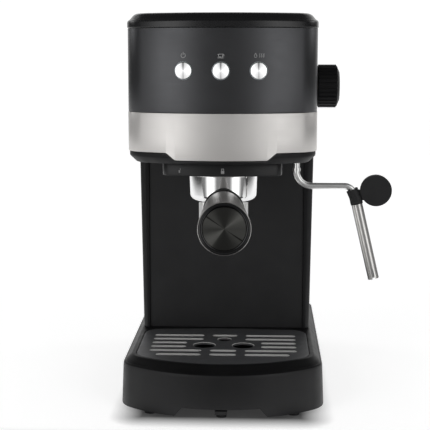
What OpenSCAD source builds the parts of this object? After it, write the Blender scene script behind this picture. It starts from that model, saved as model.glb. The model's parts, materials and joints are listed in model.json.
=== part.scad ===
// Compact pump espresso machine with a turning filter holder, side steam wand,
// slide-out drip tray and a lift-out rear water tank. Millimetres, Z up, front is -Y.

/* [Body] */
// Width of the base at its foot
base_w = 172; // [170:1:176]
// Depth of the base, front wall to rear wall
base_depth = 293; // [290:1:300]
// Height of the machine on its feet
body_h = 331; // [328:1:340]
// Width of the head at its front corners
head_w = 154.6; // [152:0.2:156]
// Width of the rear housing
rear_w = 158.8; // [157:0.2:160]
// Wall thickness of the mouldings
wall = 2.5; // [2:0.1:3]

/* [Head] */
// Height of the joint under the lid
lid_z = 319; // [318:0.5:320]
// Height of the upper edge of the bright band
band_top = 252; // [248:1:256]
// Height of the band's lower edge at its ends
band_low = 220.2; // [219:0.1:222]
// Height of the band's lower edge in the middle
band_drop = 214.4; // [214:0.1:217]
// Height of the push buttons
button_z = 285.5; // [282:0.5:289]
// Spacing of the push buttons
button_pitch = 29.7; // [26:0.1:32]
// Diameter of a push button
button_d = 13.2; // [12:0.2:14]
// Diameter of the steam knob
knob_d = 36.3; // [30:0.1:40]

/* [Brewing] */
// Outside diameter of the filter holder bowl
bowl_d = 58.4; // [58:0.1:58.8]
// Turn of the resting handle from straight ahead
handle_turn = 2.2; // [0:0.1:5]
// Length of the handle from its neck to its end
handle_l = 119; // [90:1:125]
// Diameter of the handle end
handle_d = 39.2; // [38:0.1:40]

/* [Drip tray] */
// Height of the drip grid surface
grid_z = 46; // [46:0.5:47]
// Width of the drip grid
grid_w = 147; // [140:1:148]
// Width of the slots in the drip grid
slot_w = 5.6; // [4:0.1:6.4]

/* [Steam] */
// Height of the wand's level arm
arm_z = 191; // [188:0.5:193]
// Diameter of the wand tube
tube_d = 5.2; // [4.8:0.1:5.4]
// Lean of the frothing sleeve
sleeve_lean = 13.4; // [8:0.1:18]
// Diameter of the round grip tab
tab_d = 25.6; // [20:0.1:26]

/* [Hidden] */
$fn = 64;

front_y = -143;                       // front of the head, brew axis lies at x 0, y -78
base_y = -145;                        // front of the base
rear_y = base_y + base_depth;         // back of the machine
brew_y = -78;
seam_y = -6;                          // joint between tray unit and rear base
tank_y = 87;                          // front of the tank
head_hw = head_w/2;
rear_hw = rear_w/2;
base_hw = base_w/2;
bowl_r = bowl_d/2;
floor_z = 211;                        // underside of the head
skin = 1.5;                           // thickness of the panel skins
wand = [61, -106];                    // vertical axis of the steam wand
knob = [-62, 271.4];                  // y and z of the steam knob axis
arm_end = 100.2;                      // x where the level arm starts to bend down
sleeve_top = [arm_end + 9*cos(sleeve_lean) + 8*sin(sleeve_lean),
  arm_z - 9 + 9*sin(sleeve_lean) - 8*cos(sleeve_lean)];
base_z = 3.5;
case_screw_at = [[-70, 20], [70, 20], [-66, 96], [66, 96]];
hinge = [147.2, 319.4];                // y and z of the tank lid's hinge line
frame_x = -26.5;                      // puts the middle of the outline at x 0, y 0
frame_y = 41;

function arc_pts(cx, cy, r, a0, a1, n) =
  [for (i = [0:n]) let (a = a0 + (a1 - a0)*i/n) [cx + r*cos(a), cy + r*sin(a)]];
function other_side(p) = [for (i = [len(p) - 1:-1:1]) [-p[i][0], p[i][1]]];
function corner_y(fy, R, rc, hw) = fy + R - sqrt(pow(R - rc, 2) - pow(hw - rc, 2));
function bow(hw, fy, R, rc, d) =
  let (cy = corner_y(fy, R, rc, hw), t = atan2(cy - fy - R, hw - rc))
  concat(arc_pts(0, fy + R, R - d, -90, t, 10), arc_pts(hw - rc, cy, rc - d, t, 0, 7));
function tail(hw, ry, rr, d) = arc_pts(hw - rr, ry - rr, rr - d, 0, 90, 6);
function closed(p) = concat(p, other_side(p));

// Plan outlines, moved inwards by d
module body_plan(d) {
  polygon(closed(concat(bow(head_hw, front_y, 130, 26, d), [[rear_hw - d, -12]],
    tail(rear_hw, rear_y, 22, d))));
}
module column_plan(d) {
  polygon(closed(concat([[0, seam_y + 0.5 + d]],
    arc_pts(rear_hw - 6, seam_y + 6.5, 6 - d, -90, 0, 4), tail(rear_hw, rear_y, 22, d))));
}
module base_plan(d) {
  polygon(closed(concat(bow(base_hw, base_y, 118, 26, d), tail(base_hw, rear_y, 26, d))));
}
module rim_plan(d) {
  polygon(closed(concat(bow(77.5, -134, 117, 22, d), tail(77.5, rear_y - 5, 22, d))));
}
module grid_plan(d) {
  polygon(closed(concat(bow(grid_w/2, -131, 115, 22, d),
    arc_pts(grid_w/2 - 17, -27, 17 - d, 0, 62, 5), [[32, -9.5 - d], [16, -8.4 - d]])));
}
module collar_plan(d) {
  polygon(closed(concat(bow(49, -124, 115, 8, d), tail(49, -33, 6, d))));
}

module slab(z0, z1) {
  translate([0, 0, z0]) linear_extrude(z1 - z0) children();
}
module block(x0, x1, y0, y1, z0, z1) {
  translate([x0, y0, z0]) cube([x1 - x0, y1 - y0, z1 - z0]);
}
// Front-view outline of the narrowing column, moved inwards by d
module taper(d, z0, z1) {
  translate([0, rear_y + 5, 0]) rotate([90, 0, 0]) linear_extrude(base_depth + 20)
    polygon([[-76.8 + d, 39], [76.8 - d, 39], [79.4 - d, 207], [79.9 - d, z1],
      [-79.9 + d, z1], [-79.4 + d, 207]]);
}
// Rod along -Y or +Y, X and a tube between
module rod_y(x, z, y0, y1, r) {
  translate([x, y0, z]) rotate([-90, 0, 0]) cylinder(h = y1 - y0, r = r);
}
module rod_x(x0, x1, y, z, r) {
  translate([x0, y, z]) rotate([0, 90, 0]) cylinder(h = x1 - x0, r = r);
}
module rod_z(x, y, z0, z1, r) {
  translate([x, y, z0]) cylinder(h = z1 - z0, r = r);
}
module shell(d0, d1, z0, z1) {
  slab(z0, z1) difference() {
    body_plan(d0);
    body_plan(d1);
  }
}
function button_y(x) = front_y + 130 - sqrt(130*130 - x*x);

// ---------------------------------------------------------------- casing
module top_cover() {
  color([0.06, 0.06, 0.065]) difference() {
    union() {
      slab(lid_z + 0.3, lid_z + 5) intersection() {
        body_plan(-0.5);
        translate([-100, -200]) square([200, 200 + tank_y - 1]);
      }
      intersection() {
        lid_bevel();
        block(-100, 100, -200, tank_y - 1, lid_z, body_h + 1);
      }
    }
    slab(lid_z, body_h - 3.5) intersection() {
      body_plan(10);
      translate([-100, -200]) square([200, 200 + tank_y - 3.5]);
    }
    slab(body_h - 1.5, body_h + 1) warming_plan(0);
  }
}
module lid_bevel() {
  hull() {
    slab(lid_z + 5, lid_z + 5.1) body_plan(-0.5);
    slab(body_h - 0.1, body_h) body_plan(7.5);
  }
}
module warming_plan(d) {
  polygon(closed(concat(bow(62, -118, 130, 18, d), tail(62, 72, 12, d))));
}
module cup_warming_plate() {
  color([0.6, 0.6, 0.6]) difference() {
    slab(body_h - 1.5, body_h - 0.5) warming_plan(0.4);
    for (j = [0:9])
      block(-45, 45, -92 + 16*j - 1.5, -92 + 16*j + 1.5, body_h - 3, body_h + 1);
  }
}
module front_panel() {
  color([0.13, 0.13, 0.14]) difference() {
    intersection() {
      shell(0, skin, band_top + 0.15, lid_z);
      block(-90, 90, -160, -98, 200, 330);
    }
    for (x = [-button_pitch, 0, button_pitch])
      rod_y(x, button_z, -150, -130, button_d/2 + 0.6);
  }
}
module trim_band() {
  color([0.75, 0.75, 0.74]) intersection() {
    shell(-0.2, skin, band_drop, band_top - 0.15);
    block(-90, 90, -160, -98, 200, 330);
    translate([0, 0, 0]) rotate([90, 0, 0]) linear_extrude(200)
      polygon([[-95, band_low], [-44.5, band_low], [-36.5, band_drop - 1], [36.5, band_drop - 1],
        [44.5, band_low], [95, band_low], [95, 330], [-95, 330]]);
  }
}
module head_housing() {
  color([0.09, 0.09, 0.09]) difference() {
    intersection() {
      shell(skin, skin + wall, 222, lid_z);
      block(-90, 90, -160, -99, 200, 330);
    }
    for (x = [-button_pitch, 0, button_pitch])
      rod_y(x, button_z, -150, -125, 8.8);
  }
}
module head_lower_trim() {
  color([0.07, 0.07, 0.07]) difference() {
    intersection() {
      union() {
        hull() {
          slab(floor_z, floor_z + 0.1) body_plan(6.3);
          slab(216.4, 216.5) body_plan(0.8);
        }
        slab(216.5, 220) body_plan(0.8);
        slab(220, 222) body_plan(wall + 0.1);
      }
      block(-100, 100, -160, seam_y - 0.3, 200, 222);
    }
    slab(floor_z + 2.5, 230) intersection() {
      body_plan(skin + wall);
      translate([-100, -200]) square([200, 200 + seam_y - 3]);
    }
    slab(band_drop - 1.2, 223) difference() {
      translate([-48, -160]) square([96, 60]);
      body_plan(skin + 0.1);
    }
    rod_z(0, brew_y, 205, 230, 42);
    rod_z(wand[0], wand[1], 205, 230, 6.2);
  }
}
module group_housing() {
  color([0.09, 0.09, 0.09]) difference() {
    slab(200, floor_z - 0.1) collar_plan(0);
    slab(203, floor_z) difference() {
      collar_plan(3);
      translate([0, brew_y]) circle(r = 44);
    }
    rod_z(0, brew_y, 199, 212, 41);
  }
}
module column_panel() {
  color([0.08, 0.08, 0.08]) block(-70.6, 70.6, -4, -1.5, grid_z + 0.4, floor_z + 8);
}
module side_skin(s) {
  difference() {
    union() {
      intersection() {
        shell(0, wall, 220.2, lid_z);
        block(-100, 100, -97.8, tank_y - 1, 200, 330);
      }
      difference() {
        intersection() {
          slab(grid_z + 0.2, 220.2) column_plan(0);
          taper(0, 30, 330);
          block(-100, 100, seam_y, tank_y - 1, 40, 220.2);
        }
        intersection() {
          slab(grid_z - 1, 221) column_plan(wall);
          taper(wall, 30, 340);
        }
        block(-71, 71, seam_y - 5, 0, 40, 230);
      }
    }
    if (s > 0) block(-200, 0, -200, 200, 0, 400);
    if (s < 0) block(0, 200, -200, 200, 0, 400);
  }
}
module side_panel_left() {
  color([0.08, 0.08, 0.08]) side_skin(-1);
}
module side_panel_right() {
  color([0.08, 0.08, 0.08]) difference() {
    side_skin(1);
    rod_x(70, 90, knob[0], knob[1], 9);
  }
}
module rear_wall() {
  color([0.08, 0.08, 0.08]) block(-74, 74, tank_y - 3.4, tank_y - 1, grid_z + 0.2, lid_z);
}
module base_body() {
  intersection() {
    union() {
      slab(base_z, 40) base_plan(0);
      hull() {
        slab(40, 40.1) base_plan(1.4);
        slab(grid_z - 0.1, grid_z) rim_plan(0);
      }
    }
    translate([0, 200, 0]) rotate([90, 0, 0]) linear_extrude(400)
      polygon([[-base_hw, 0], [base_hw, 0], [base_hw - 1.6, 41], [base_hw - 1.6, 60],
        [-base_hw + 1.6, 60], [-base_hw + 1.6, 41]]);
  }
}
module base_rear() {
  color([0.08, 0.08, 0.08]) difference() {
    intersection() {
      base_body();
      block(-100, 100, seam_y, 160, 0, 60);
    }
    slab(3, 38) intersection() {
      base_plan(4.2);
      translate([-100, seam_y + wall]) square([200, 300]);
    }
    rod_y(50, 24, 130, 160, 6.5);
    rod_z(-35, 118, 36, 50, 10);
    block(-52, 30, 22, 62, 30, 50);
    slab(3, 8.2) base_plan(6);
  }
}
module bottom_plate() {
  color([0.1, 0.1, 0.1]) difference() {
    slab(5, 8) base_plan(6.5);
    block(5, 38.5, -160, -106, 4, 9);
    block(-38.5, -5, -160, -106, 4, 9);
    for (x = [-20:10:20])
      for (y = [40:14:96])
        rod_z(x, y, 4, 9, 2.5);
    for (p = case_screw_at) rod_z(p[0], p[1], 4, 9, 1.8);
  }
}
module feet() {
  color([0.12, 0.12, 0.12]) for (p = [[-60, -117, 5], [60, -117, 5], [0, -126, 4.3],
      [-62, 118, 6], [62, 118, 6]])
    rod_z(p[0], p[1], 0, 4.95, p[2]);
}
module case_screws() {
  color([0.7, 0.7, 0.7]) for (p = case_screw_at)
    translate([p[0], p[1], 3.2]) difference() {
      union() {
        cylinder(h = 1.8, r = 3.2);
        translate([0, 0, 1.8]) cylinder(h = 3, r = 1.6);
      }
      block(-2.2, 2.2, -0.4, 0.4, -1, 0.8);
      block(-0.4, 0.4, -2.2, 2.2, -1, 0.8);
    }
}
module cord_gland() {
  color([0.12, 0.12, 0.12]) translate([50, rear_y - 4.2, 24]) rotate([-90, 0, 0]) difference() {
    union() {
      translate([0, 0, 4.25]) cylinder(h = 2, r = 8.5);
      cylinder(h = 4.3, r = 6.4);
    }
    translate([0, 0, -1]) cylinder(h = 10, r = 3.6);
  }
}
module chassis_frame() {
  color([0.6, 0.6, 0.62]) difference() {
    union() {
      block(-60, 60, -112, 78, 226, 227.5);
      block(-60, -58.5, -112, 78, 227.5, 240);
      block(58.5, 60, -112, 78, 227.5, 240);
      block(-60, 60, 70, 71.5, grid_z + 4, 226);
    }
    rod_z(0, brew_y, 220, 230, 20);
    rod_z(wand[0] - 4, wand[1], 220, 245, 9);
    rod_z(0, 20, 220, 230, 14);
    rod_z(-35, 40, 220, 230, 4);
  }
}

// ---------------------------------------------------------------- drip tray
module tray_cup(d, y1) {
  polygon(closed(concat(bow(70 - d, -126 + d, 112, 18, 0), tail(70 - d, y1, 8, 0))));
}
module drip_tray() {
  color([0.06, 0.06, 0.06]) union() {
    difference() {
      intersection() {
        base_body();
        block(-100, 100, -160, seam_y - 0.4, 0, 60);
      }
      slab(grid_z - 2.05, 60) grid_plan(-0.6);
      slab(14, 60) tray_cup(0, -14);
      slab(3, 36) intersection() {
        difference() {
          base_plan(4.2);
          tray_cup(-2.5, -9.5);
        }
        translate([-100, -200]) square([200, 190]);
      }
      slab(3, 11.5) intersection() {
        base_plan(4.2);
        translate([-100, -200]) square([200, 300]);
      }
      translate([0, -100, 0]) rotate([90, 0, 0]) linear_extrude(80)
        polygon([[-38.5, 3], [38.5, 3], [32, 11.2], [-32, 11.2]]);
    }
    rod_z(0, -49, 13.9, 30, 2);
  }
}
module drip_grid() {
  color([0.35, 0.35, 0.36]) difference() {
    slab(grid_z - 2, grid_z) grid_plan(0);
    for (r = [[-35.5, 19, 63, 11], [-48.7, 19, 63, 0], [-61.9, 33, 63, 0], [-75.1, 33, 63, 0],
        [-88.3, 19, 63, 11], [-101.5, 19, 56.5, 11]]) {
      for (s = [-1, 1]) slot(s*r[1], s*r[2], r[0]);
      if (r[3] > 0) slot(-r[3], r[3], r[0]);
    }
    for (s = [-1, 1]) rod_z(17*s, -69.5, 40, 50, 9.5);
    rod_z(0, -49, 40, 50, 6);
  }
}
module slot(xa, xb, y) {
  x0 = min(xa, xb) + slot_w/2;
  x1 = max(xa, xb) - slot_w/2;
  block(x0, x1, y - slot_w/2, y + slot_w/2, 40, 50);
  rod_z(x0, y, 40, 50, slot_w/2);
  rod_z(x1, y, 40, 50, slot_w/2);
}
module overflow_float() {
  color([0.7, 0.08, 0.06]) difference() {
    union() {
      rod_z(0, -49, 16, 24, 11);
      rod_z(0, -49, 24, grid_z - 3, 4.2);
    }
    rod_z(0, -49, 10, grid_z - 5, 2.6);
  }
}

// ---------------------------------------------------------------- water tank
module tank_plan(d) {
  intersection() {
    body_plan(d);
    translate([-100, tank_y + d]) square([200, 200]);
  }
}
module water_tank() {
  color([0.25, 0.27, 0.28, 0.5]) difference() {
    union() {
      intersection() {
        slab(grid_z + 1, lid_z + 0.2) tank_plan(0.3);
        taper(0.3, 30, 340);
      }
      rod_z(-35, 118, 39, grid_z + 2, 8);
    }
    intersection() {
      slab(grid_z + 3.4, lid_z + 1) tank_plan(2.6);
      taper(2.6, 30, 350);
    }
    rod_z(-35, 118, 38, grid_z + 5, 5);
    rod_x(-20.5, 20.5, hinge[0], hinge[1], 1.2);
  }
}
module tank_lid() {
  color([0.06, 0.06, 0.065]) difference() {
    union() {
      slab(lid_z + 0.5, lid_z + 5) lid_plan();
      intersection() {
        lid_bevel();
        block(-100, 100, tank_y + 1.2, rear_y - 1, lid_z, body_h + 1);
      }
      rod_x(-20, 20, hinge[0], hinge[1], 0.8);
    }
    slab(lid_z, body_h - 3) intersection() {
      body_plan(10);
      translate([-100, tank_y + 8]) square([200, rear_y - tank_y - 18]);
    }
    block(-14, 14, tank_y, tank_y + 5, body_h - 3, body_h + 1);
  }
}
module lid_plan() {
  intersection() {
    body_plan(-0.5);
    translate([-100, tank_y + 1.2]) square([200, rear_y - tank_y - 2.2]);
  }
}
module tank_valve() {
  color([0.85, 0.85, 0.82]) difference() {
    union() {
      rod_z(-35, 118, 41, grid_z + 3.45, 4.95);
      rod_z(-35, 118, grid_z + 3.45, grid_z + 8, 9);
    }
    rod_z(-35, 118, 40, grid_z + 9, 2.4);
  }
}
module tank_seat() {
  color([0.1, 0.1, 0.1]) difference() {
    union() {
      rod_z(-35, 118, 30, 45.8, 9.9);
      rod_z(-35, 118, 24, 30.1, 4);
    }
    rod_z(-35, 118, 36, 47, 8.9);
    rod_z(-35, 118, 23, 37, 2.2);
  }
}
module tank_seal() {
  color([0.75, 0.3, 0.2]) difference() {
    rod_z(-35, 118, 36.05, 38.7, 8.85);
    rod_z(-35, 118, 35, 40, 4);
  }
}

// ---------------------------------------------------------------- water path
// Quarter bend in the X-Z plane about cx, cz from angle a0 through da
module bend_xz(cx, y, cz, rad, r, a0, da) {
  translate([cx, y, cz]) rotate([90, 0, 0]) rotate([0, 0, a0])
    rotate_extrude(angle = da) translate([rad, 0]) circle(r = r);
}
module bend_yz(x, cy, cz, rad, r, a0, da) {
  translate([x, cy, cz]) rotate([0, 0, 90]) rotate([90, 0, 0]) rotate([0, 0, a0])
    rotate_extrude(angle = da) translate([rad, 0]) circle(r = r);
}
module intake_hose() {
  color([0.85, 0.85, 0.83]) union() {
    rod_z(-35, 118, 22, 24, 3.5);
    bend_yz(-35, 109, 22, 9, 3.5, 270, 90);
    rod_y(-35, 13, 49, 109, 3.5);
    bend_yz(-35, 49, 22, 9, 3.5, 180, 90);
    rod_z(-35, 40, 22, 51, 3.5);
  }
}
module pump_body() {
  color([0.85, 0.85, 0.8]) union() {
    rod_z(-35, 40, 51, 62, 9);
    rod_z(-35, 40, 62, 112, 12);
    rod_z(-35, 40, 112, 124, 8);
    rod_z(-35, 40, 124, 132, 4);
  }
}
module pump_coil() {
  color([0.15, 0.15, 0.15]) difference() {
    block(-54, -16, 22, 58, 66, 106);
    rod_z(-35, 40, 60, 110, 12.2);
  }
}
module pump_mounts() {
  color([0.15, 0.15, 0.15]) for (z = [57, 116])
    translate([0, 0, z]) difference() {
      block(-50, -20, 30, 70, -3, 3);
      translate([-35, 40, -5]) cylinder(h = 10, r = (z < 100) ? 9.1 : 8.1);
    }
}
module pressure_hose() {
  color([0.9, 0.9, 0.88]) difference() {
    union() {
      rod_z(-35, 40, 132.1, 240, 3);
      bend_yz(-35, 30, 240, 10, 3, 0, 90);
      rod_y(-35, 250, 2, 30, 3);
    }
    rod_z(-35, 40, 130, 239, 1.5);
  }
}
module thermoblock() {
  color([0.7, 0.7, 0.72]) difference() {
    union() {
      block(-46, 46, -112, -12, 238, 262);
      rod_y(-35, 250, -12.1, 1.9, 6);
      rod_z(0, brew_y, 230.2, 238.1, 14);
    }
    block(-30, 30, -100, -20, 258, 264);
  }
}
module heating_element() {
  color([0.45, 0.42, 0.4]) union() {
    rod_y(-22, 260.2, -90, -30, 1.9);
    rod_y(22, 260.2, -90, -30, 1.9);
    rod_x(-24, 24, -90, 260.2, 1.8);
  }
}
module thermostats() {
  color([0.8, 0.8, 0.78]) for (x = [-38, 38])
    union() {
      rod_z(x, -40, 262.1, 268, 7);
      rod_z(x, -40, 268, 271, 5);
    }
}

// ---------------------------------------------------------------- steam
module steam_valve() {
  color([0.75, 0.62, 0.3]) difference() {
    union() {
      rod_x(48.5, 66, knob[0], knob[1], 8);
      rod_z(56, knob[0], 264, 264.9, 5);
      rod_z(56, knob[0], 250, 264.5, 5);
    }
    rod_x(54, 68, knob[0], knob[1], 3.4);
  }
}
module valve_stem() {
  color([0.75, 0.62, 0.3]) union() {
    rod_x(56, 84.9, knob[0], knob[1], 3);
    rod_x(67, 70, knob[0], knob[1], 6);
  }
}
module steam_knob() {
  r = knob_d/2;
  color([0.06, 0.06, 0.06]) translate([80.4, knob[0], knob[1]]) rotate([0, 90, 0]) union() {
    rotate_extrude() polygon([[3.2, -1.2], [r - 1, -1.2], [r - 1, 15], [r - 6, 17.1],
      [11.2, 17.1], [11, 16.7], [0, 16.7], [0, 4.6], [3.2, 4.6]]);
    translate([0, 0, -0.6]) linear_extrude(14.8) difference() {
      polygon([for (i = [0:29]) for (k = [[0, r], [6, r], [7, r - 0.8], [11, r - 0.8]])
        [k[1]*cos(12*i + k[0]), k[1]*sin(12*i + k[0])]]);
      circle(r = 12);
    }
  }
}
module steam_pipe() {
  color([0.75, 0.75, 0.75]) union() {
    rod_z(56, knob[0], 240, 249.9, 2.2);
    bend_yz(56, knob[0] - 7, 240, 7, 2.2, 270, 90);
    rod_y(56, 233, wand[1] + 5, knob[0] - 7, 2.2);
    rod_y(56, 233, wand[1] + 5, wand[1] + 6, 2.8);
  }
}
module wand_nut() {
  color([0.7, 0.7, 0.7]) difference() {
    union() {
      rod_z(wand[0], wand[1], 211.2, 213.6, 5.9);
      rod_z(wand[0], wand[1], 213.6, 238, 8);
    }
    rod_z(wand[0], wand[1], 200, 227, tube_d/2 + 0.3);
    rod_y(56, 233, wand[1], wand[1] + 20, 3);
  }
}
module steam_wand() {
  color([0.8, 0.8, 0.8]) difference() {
    union() {
      rod_z(wand[0], wand[1], arm_z + 11.5, 226, tube_d/2);
      rod_z(wand[0], wand[1], 203.2, 205.8, 3.3);
      bend_xz(wand[0] + 12, wand[1], arm_z + 12, 12, tube_d/2 + 0.06, 180, 90);
      rod_x(wand[0] + 11.5, arm_end + 0.5, wand[1], arm_z, tube_d/2);
      bend_xz(arm_end, wand[1], arm_z - 9, 9, tube_d/2 + 0.06, sleeve_lean, 90 - sleeve_lean);
      along_sleeve() translate([0, 0, -60]) cylinder(h = 68.5, r = tube_d/2);
    }
    rod_z(wand[0], wand[1], 206, 230, 1.3);
  }
}
// Local Z runs up the leaning sleeve, zero at the sleeve's upper end
module along_sleeve() {
  translate([sleeve_top[0], wand[1], sleeve_top[1]]) rotate([0, -sleeve_lean, 0]) children();
}
module wand_grip() {
  color([0.05, 0.05, 0.05]) difference() {
    union() {
      along_sleeve() cylinder(h = 6.4, r = 5.1);
      translate([109.25, wand[1], 182.1]) rotate([0, -24, 0]) cylinder(h = 6.6, r = 4.9);
      translate([112, wand[1] - 2, 179.5]) cube([8, 4, 8.5]);
      rod_y(126.2, 187.5, wand[1] - 3.2, wand[1] + 3.2, tab_d/2);
    }
    along_sleeve() translate([0, 0, -5]) cylinder(h = 13.2, r = tube_d/2 + 0.15);
    bend_xz(arm_end, wand[1], arm_z - 9, 9, tube_d/2 + 0.25, sleeve_lean - 1, 91 - sleeve_lean);
  }
}
module froth_sleeve() {
  color([0.75, 0.75, 0.75]) along_sleeve() difference() {
    translate([0, 0, -64]) cylinder(h = 63.8, r = 4.6);
    translate([0, 0, -70]) cylinder(h = 72, r = 3.8);
    translate([-0.9, -8, -65]) cube([1.8, 8, 9]);
  }
}
module steam_tip() {
  color([0.7, 0.7, 0.7]) along_sleeve() difference() {
    translate([0, 0, -63]) cylinder(h = 2.9, r = 2.9);
    translate([0, 0, -64]) cylinder(h = 5, r = 0.6);
  }
}

// ---------------------------------------------------------------- brewing
module turn_body(p) {
  translate([0, brew_y, 0]) rotate_extrude() polygon(p);
}
module group_head() {
  color([0.68, 0.68, 0.7]) difference() {
    turn_body([[0, 206], [25.2, 206], [25.2, 207.05], [25.8, 207.05], [25.8, 213.1], [40, 213.1], [40, 219], [18, 219],
      [18, 230], [0, 230]]);
    rod_z(0, brew_y, 205, 212, 2.1);
    rod_z(0, brew_y, 212, 231, 1.2);
  }
}
module bayonet_ring() {
  color([0.7, 0.7, 0.7]) difference() {
    rod_z(0, brew_y, 198.8, 213, 40);
    rod_z(0, brew_y, 198, 214, bowl_r + 1);
    rod_z(0, brew_y, 201.7, 214, 34.4);
    for (a = [131, 311])
      translate([0, brew_y, 195]) rotate([0, 0, a + handle_turn - 1]) linear_extrude(8)
        polygon(concat([[20, 0]], arc_pts(0, 0, 33.9, -18, 18, 8)));
  }
}
module group_gasket() {
  color([0.1, 0.1, 0.1]) difference() {
    rod_z(0, brew_y, 207.05, 213.05, 30.5);
    rod_z(0, brew_y, 206, 214, 25.85);
  }
}
module shower_screen() {
  color([0.8, 0.8, 0.8]) difference() {
    rod_z(0, brew_y, 204.9, 205.9, 24.6);
    rod_z(0, brew_y, 204, 207, 2.2);
    for (k = [1:3])
      for (i = [0:6*k - 1])
        translate([6*k*cos(60*i/k), brew_y + 6*k*sin(60*i/k), 204]) cylinder(h = 3, r = 1.1, $fn = 24);
  }
}
module screen_screw() {
  color([0.7, 0.7, 0.7]) difference() {
    union() {
      rod_z(0, brew_y, 203.4, 204.85, 4.5);
      rod_z(0, brew_y, 204.8, 211, 2);
    }
    block(-3.5, 3.5, brew_y - 0.6, brew_y + 0.6, 202, 204.2);
  }
}
module holder() {
  translate([0, brew_y, 0]) rotate([0, 0, handle_turn]) children();
}
module portafilter_bowl() {
  color([0.8, 0.8, 0.8]) holder() difference() {
    union() {
      rotate_extrude() polygon(concat([[0, 175], [bowl_r - 6, 175]],
        arc_pts(bowl_r - 6, 181, 6, -75, 0, 6), [[bowl_r, 205.9], [0, 205.9]]));
      for (a = [0, 180])
        rotate([0, 0, a]) translate([0, 0, 202]) linear_extrude(3)
          polygon(concat([[20, 0]], arc_pts(0, 0, 33.6, -14, 14, 8)));
      translate([0, -bowl_r - 2.4, 171.1]) rotate([88.9, 0, 0])
        translate([-9, -8.1, -7.1]) cube([18, 20, 7]);
    }
    translate([0, 0, 178]) cylinder(h = 40, r = 27);
    translate([0, 0, 170]) cylinder(h = 10, r = 6);
  }
}
module filter_basket() {
  color([0.8, 0.8, 0.78]) holder() difference() {
    rotate_extrude() polygon([[0, 183], [24.5, 183], [26, 185], [26, 206], [28.8, 206],
      [28.8, 206.9], [25.4, 206.9], [25.4, 185.6], [24.2, 183.6], [0, 183.6]]);
    for (k = [1:3])
      for (i = [0:6*k - 1])
        translate([6.6*k*cos(60*i/k), 6.6*k*sin(60*i/k), 182]) cylinder(h = 3, r = 0.8, $fn = 24);
  }
}
module spout() {
  color([0.8, 0.8, 0.8]) holder() difference() {
    union() {
      translate([0, 0, 170]) cylinder(h = 7.5, r = 5.9);
      translate([-14, -7, 163]) cube([28, 14, 10.8]);
      for (x = [-14, 14]) translate([x, 0, 150]) cylinder(h = 23.8, r = 7);
    }
    translate([0, 0, 168]) cylinder(h = 12, r = 4);
    translate([-14, -4, 165.5]) cube([28, 8, 5]);
    for (x = [-14, 14]) translate([x, 0, 149]) cylinder(h = 18, r = 5.2);
  }
}
// Local Z runs along the handle, away from the bowl
module along_handle() {
  holder() translate([0, -bowl_r - 2.4, 171.1]) rotate([88.9, 0, 0]) children();
}
module handle_collar() {
  color([0.04, 0.04, 0.04]) along_handle() cylinder(h = 2.6, r = 17);
}
module portafilter_handle() {
  r = handle_d/2;
  color([0.4, 0.4, 0.41]) along_handle() rotate_extrude() polygon([[0, 2.7], [15.2, 2.7],
    [15.8, 3.4], [17, 31], [18.1, 61], [19, 91], [r, handle_l - 1], [r - 0.5, handle_l],
    [r - 1.3, handle_l], [r - 1.3, handle_l - 4], [0, handle_l - 4]]);
}
module handle_end_disc() {
  r = handle_d/2;
  color([0.1, 0.1, 0.1]) along_handle() translate([0, 0, handle_l - 3.9]) union() {
    cylinder(h = 2, r = r - 1.5);
    cylinder(h = 3.4, r = 15.8);
  }
}

// ---------------------------------------------------------------- controls
module button(x) {
  translate([x, button_y(x), button_z]) rotate([90, 0, 0]) union() {
    rotate_extrude() polygon([[0, -4], [button_d/2, -4], [button_d/2, 0.6], [button_d/2 - 0.6, 1.3],
      [button_d/2 - 2.6, 1.7], [0, 1.8]]);
    translate([0, 0, -12]) cylinder(h = 8.1, r = 2.5);
  }
}
module button_power() {
  color([0.85, 0.85, 0.85]) button(-button_pitch);
}
module button_brew() {
  color([0.85, 0.85, 0.85]) button(0);
}
module button_steam() {
  color([0.85, 0.85, 0.85]) button(button_pitch);
}
module light_rings() {
  color([0.9, 0.93, 1]) for (x = [-button_pitch, 0, button_pitch])
    translate([x, button_y(x), button_z]) rotate([90, 0, 0]) translate([0, 0, -6.4]) difference() {
      cylinder(h = 2.2, r = 8.6);
      translate([0, 0, -1]) cylinder(h = 5, r = button_d/2 + 0.35);
    }
}
module button_board() {
  color([0.1, 0.35, 0.15]) union() {
    block(-42, 42, -122.5, -121, 274, 298);
    for (x = [-button_pitch, 0, button_pitch]) block(x - 3, x + 3, -125, -122.4, 282.5, 288.5);
  }
}
module main_board() {
  color([0.1, 0.35, 0.15]) union() {
    block(-50, 50, 0, 62, 270, 271.6);
    block(-40, -22, 10, 30, 271.5, 286);
    block(-10, 10, 20, 40, 271.5, 284);
    block(24, 42, 12, 34, 271.5, 290);
  }
}

module place() {
  translate([frame_x, frame_y, 0]) children();
}

place() top_cover();
place() cup_warming_plate();
place() front_panel();
place() trim_band();
place() head_housing();
place() head_lower_trim();
place() group_housing();
place() column_panel();
place() side_panel_left();
place() side_panel_right();
place() rear_wall();
place() base_rear();
place() bottom_plate();
place() feet();
place() case_screws();
place() cord_gland();
place() chassis_frame();
place() drip_tray();
place() drip_grid();
place() overflow_float();
place() water_tank();
place() tank_lid();
place() tank_valve();
place() tank_seat();
place() tank_seal();
place() intake_hose();
place() pump_body();
place() pump_coil();
place() pump_mounts();
place() pressure_hose();
place() thermoblock();
place() heating_element();
place() thermostats();
place() steam_valve();
place() valve_stem();
place() steam_knob();
place() steam_pipe();
place() wand_nut();
place() steam_wand();
place() wand_grip();
place() froth_sleeve();
place() steam_tip();
place() group_head();
place() bayonet_ring();
place() group_gasket();
place() shower_screen();
place() screen_screw();
place() portafilter_bowl();
place() filter_basket();
place() spout();
place() handle_collar();
place() portafilter_handle();
place() handle_end_disc();
place() button_power();
place() button_brew();
place() button_steam();
place() light_rings();
place() button_board();
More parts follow.
